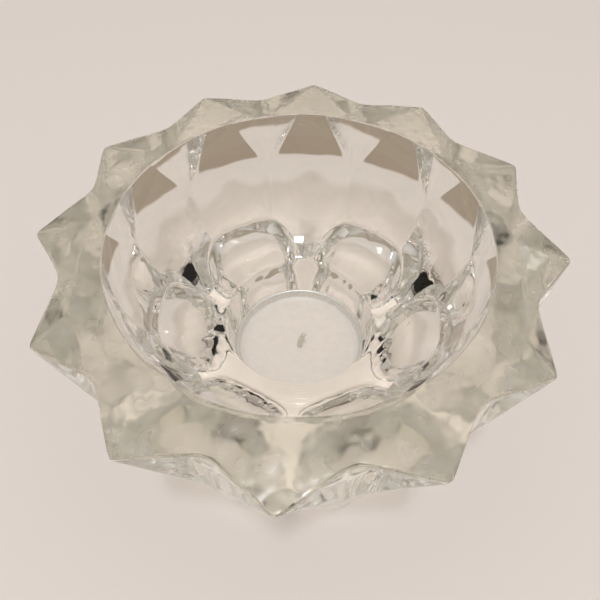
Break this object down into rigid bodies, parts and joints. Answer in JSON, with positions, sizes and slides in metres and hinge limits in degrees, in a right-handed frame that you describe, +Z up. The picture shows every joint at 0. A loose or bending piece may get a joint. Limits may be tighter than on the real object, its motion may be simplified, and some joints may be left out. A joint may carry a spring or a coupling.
{
  "type": "tealight holder",
  "caption": "Heavy clear glass tealight holder with a star-pointed rim, pressed niches below and a round seat holding a lift-out tealight.",
  "frame": {"origin": "centre of the flat underside, on the axis of the star", "axes": "+Z up along the axis of the bowl; one rim point lies near +Y, turned 4.18 degrees towards +X"},
  "size_m": [0.1318, 0.1318, 0.068],
  "materials": {
    "glass": "clear fire-polished pressed glass",
    "cup_metal": "drawn foil, satin",
    "wax": "satin paraffin wax",
    "sustainer_metal": "tinned steel",
    "wick_cord": "waxed cotton braid"
  },
  "bodies": {
    "holder": {"glass_body": "glass"},
    "tealight": {"tealight_cup": "cup_metal", "wax": "wax", "wick_sustainer": "sustainer_metal", "wick": "wick_cord"}
  },
  "joints": [
    {"name": "tealight_lift", "type": "slide", "parent": "holder", "child": "tealight", "axis": [0, 0, 1], "range_m": [0, 0.08]}
  ]
}
